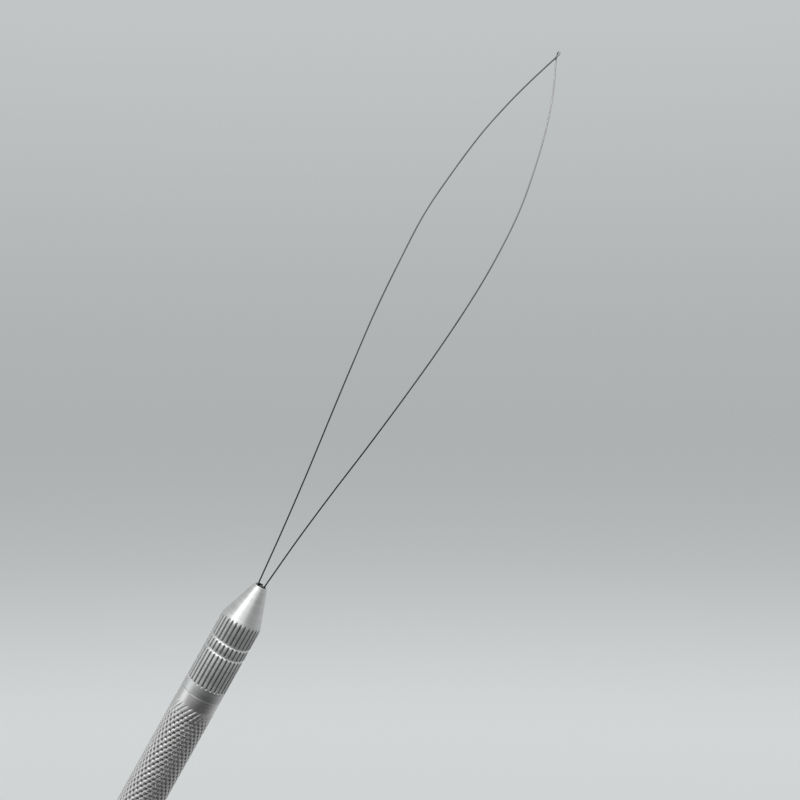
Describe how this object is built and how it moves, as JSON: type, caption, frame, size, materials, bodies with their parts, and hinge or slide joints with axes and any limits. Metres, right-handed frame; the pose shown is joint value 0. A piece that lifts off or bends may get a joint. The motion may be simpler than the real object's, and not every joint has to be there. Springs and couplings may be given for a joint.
{
  "type": "hair extension loop needle",
  "caption": "Slim knurled aluminium handle whose screw-on nose and collet hold a long pointed loop of spring wire, for drawing hair through beads.",
  "frame": {"origin": "centre of the flat tail face, on the tool's axis", "axes": "+Z along the tool's axis from the tail to the tip of the loop; the loop lies in the plane of X and Z; +Y is square to the loop"},
  "size_m": [0.0183, 0.0082, 0.2064],
  "materials": {
    "knurled_aluminium": "diamond knurled, satin",
    "turned_aluminium": "bright, fine turning marks",
    "collet_steel": "dark hardened steel",
    "sleeve_steel": "dull steel tube",
    "spring_wire": "smooth drawn spring wire"
  },
  "bodies": {
    "handle": {"handle_barrel": "knurled_aluminium", "tail_plug": "turned_aluminium"},
    "collet": {"collet": "collet_steel"},
    "nose": {"nose_cap": "turned_aluminium"},
    "loop": {"wire_loop": "spring_wire", "crimp_sleeve": "sleeve_steel"}
  },
  "joints": [
    {"name": "collet_advance", "type": "slide", "parent": "handle", "child": "collet", "axis": [0, 0, 1], "range_m": [0, 0.0055]},
    {"name": "nose_cap_turn", "type": "hinge", "parent": "collet", "child": "nose", "pos_m": [0, 0, 0.072], "axis": [0, 0, 1], "range_deg": [0, 1980]},
    {"name": "loop_draw", "type": "slide", "parent": "collet", "child": "loop", "axis": [0, 0, 1], "range_m": [0, 0.0102]}
  ],
  "couplings": [
    {"joint": "nose_cap_turn", "follows": "collet_advance", "rad_per_m": 6283.2}
  ]
}
